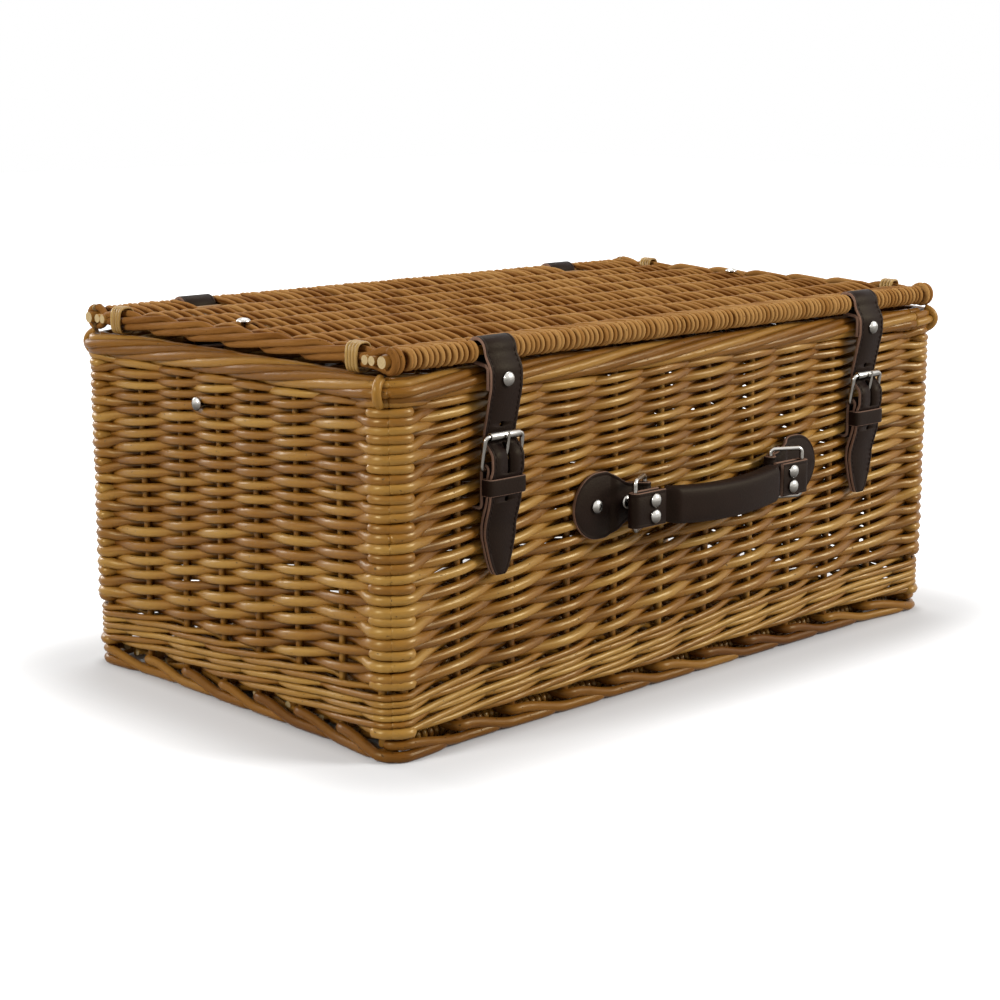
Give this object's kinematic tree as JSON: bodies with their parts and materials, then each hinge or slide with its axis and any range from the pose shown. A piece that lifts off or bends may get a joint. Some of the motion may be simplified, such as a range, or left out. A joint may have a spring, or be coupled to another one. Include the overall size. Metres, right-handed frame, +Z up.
{
  "type": "picnic basket",
  "caption": "Rectangular woven willow picnic hamper with a hinged lid, buckled leather closing straps, a leather carrying handle on metal rings and leather lid stays.",
  "frame": {"origin": "on the surface the hamper stands on, under the middle of its base", "axes": "+X along the front to the right, -Y out of the front, +Z up"},
  "size_m": [0.5202, 0.3384, 0.2423],
  "materials": {
    "willow": "varnished buff willow rods",
    "border_willow": "varnished thick willow rods",
    "cane": "split cane binding",
    "leather": "dark brown grain leather with raw pinkish edges",
    "nickel": "polished nickel plate"
  },
  "bodies": {
    "basket": {"base_panel": "willow", "foot_border": "border_willow", "upsett_wale": "willow", "front_wall": "willow", "back_wall": "willow", "left_wall": "willow", "right_wall": "willow", "corner_post_front_left": "border_willow", "corner_post_front_right": "border_willow", "corner_post_back_left": "border_willow", "corner_post_back_right": "border_willow", "top_border": "border_willow", "buckle_strap_left": "leather", "buckle_strap_right": "leather", "keeper_left": "leather", "keeper_right": "leather", "handle_tab_left": "leather", "handle_tab_right": "leather", "handle_tab_rivet_outer_left": "nickel", "handle_tab_rivet_outer_right": "nickel", "handle_tab_rivet_inner_left": "nickel", "handle_tab_rivet_inner_right": "nickel", "hinge_strap_left": "leather", "hinge_strap_right": "leather", "hinge_rivet_left": "nickel", "hinge_rivet_right": "nickel", "lid_stay_left": "leather", "lid_stay_right": "leather", "stay_wall_rivet_left": "nickel", "stay_wall_rivet_right": "nickel"},
    "lid": {"lid_weave": "willow", "lid_front_rail": "border_willow", "lid_back_rail": "border_willow", "lid_end_wale_left": "willow", "lid_end_wale_right": "willow", "lid_corner_binding_front_left": "cane", "lid_corner_binding_front_right": "cane", "lid_corner_binding_back_left": "cane", "lid_corner_binding_back_right": "cane", "stay_lid_rivet_left": "nickel", "stay_lid_rivet_right": "nickel"},
    "closing_strap_left": {"strap_left": "leather", "strap_rivet_left": "nickel"},
    "closing_strap_right": {"strap_right": "leather", "strap_rivet_right": "nickel"},
    "buckle_left": {"buckle_frame_left": "nickel"},
    "buckle_right": {"buckle_frame_right": "nickel"},
    "prong_left": {"buckle_prong_left": "nickel"},
    "prong_right": {"buckle_prong_right": "nickel"},
    "roller_left": {"buckle_roller_left": "nickel"},
    "roller_right": {"buckle_roller_right": "nickel"},
    "handle": {"handle_grip": "leather", "handle_end_loop_left": "leather", "handle_end_loop_right": "leather", "handle_ring_left": "nickel", "handle_ring_right": "nickel", "handle_rivet_upper_left": "nickel", "handle_rivet_upper_right": "nickel", "handle_rivet_lower_left": "nickel", "handle_rivet_lower_right": "nickel"}
  },
  "joints": [
    {"name": "lid_hinge", "type": "hinge", "parent": "basket", "child": "lid", "pos_m": [0, 0.1465, 0.233], "axis": [-1, 0, 0], "range_deg": [0, 100], "deforming": ["lid_stay_left", "lid_stay_right", "strap_left", "strap_right"]},
    {"name": "strap_swing_left", "type": "hinge", "parent": "lid", "child": "closing_strap_left", "pos_m": [-0.175, -0.1465, 0.233], "axis": [-1, 0, 0], "range_deg": [-75, 0], "deforming": ["strap_left"]},
    {"name": "strap_swing_right", "type": "hinge", "parent": "lid", "child": "closing_strap_right", "pos_m": [0.175, -0.1465, 0.233], "axis": [-1, 0, 0], "range_deg": [-75, 0], "deforming": ["strap_right"]},
    {"name": "buckle_swing_left", "type": "hinge", "parent": "basket", "child": "buckle_left", "pos_m": [-0.175, -0.1536, 0.164], "axis": [1, 0, 0], "range_deg": [0, 50], "deforming": ["strap_left"]},
    {"name": "buckle_swing_right", "type": "hinge", "parent": "basket", "child": "buckle_right", "pos_m": [0.175, -0.1536, 0.164], "axis": [1, 0, 0], "range_deg": [0, 50], "deforming": ["strap_right"]},
    {"name": "prong_swing_left", "type": "hinge", "parent": "buckle_left", "child": "prong_left", "pos_m": [-0.175, -0.1536, 0.164], "axis": [1, 0, 0], "range_deg": [0, 30], "deforming": ["strap_left"]},
    {"name": "prong_swing_right", "type": "hinge", "parent": "buckle_right", "child": "prong_right", "pos_m": [0.175, -0.1536, 0.164], "axis": [1, 0, 0], "range_deg": [0, 30], "deforming": ["strap_right"]},
    {"name": "roller_spin_left", "type": "hinge", "parent": "buckle_left", "child": "roller_left", "pos_m": [-0.175, -0.15707, 0.1837], "axis": [1, 0, 0], "continuous": true},
    {"name": "roller_spin_right", "type": "hinge", "parent": "buckle_right", "child": "roller_right", "pos_m": [0.175, -0.15707, 0.1837], "axis": [1, 0, 0], "continuous": true},
    {"name": "handle_swing", "type": "hinge", "parent": "basket", "child": "handle", "pos_m": [0.008, -0.1575, 0.128], "axis": [-1, 0, 0], "range_deg": [-18, 20], "deforming": ["handle_tab_left", "handle_tab_right"]}
  ],
  "couplings": [
    {"joint": "strap_swing_left", "follows": "lid_hinge", "ratio": -0.75},
    {"joint": "strap_swing_right", "follows": "lid_hinge", "ratio": -0.75}
  ]
}
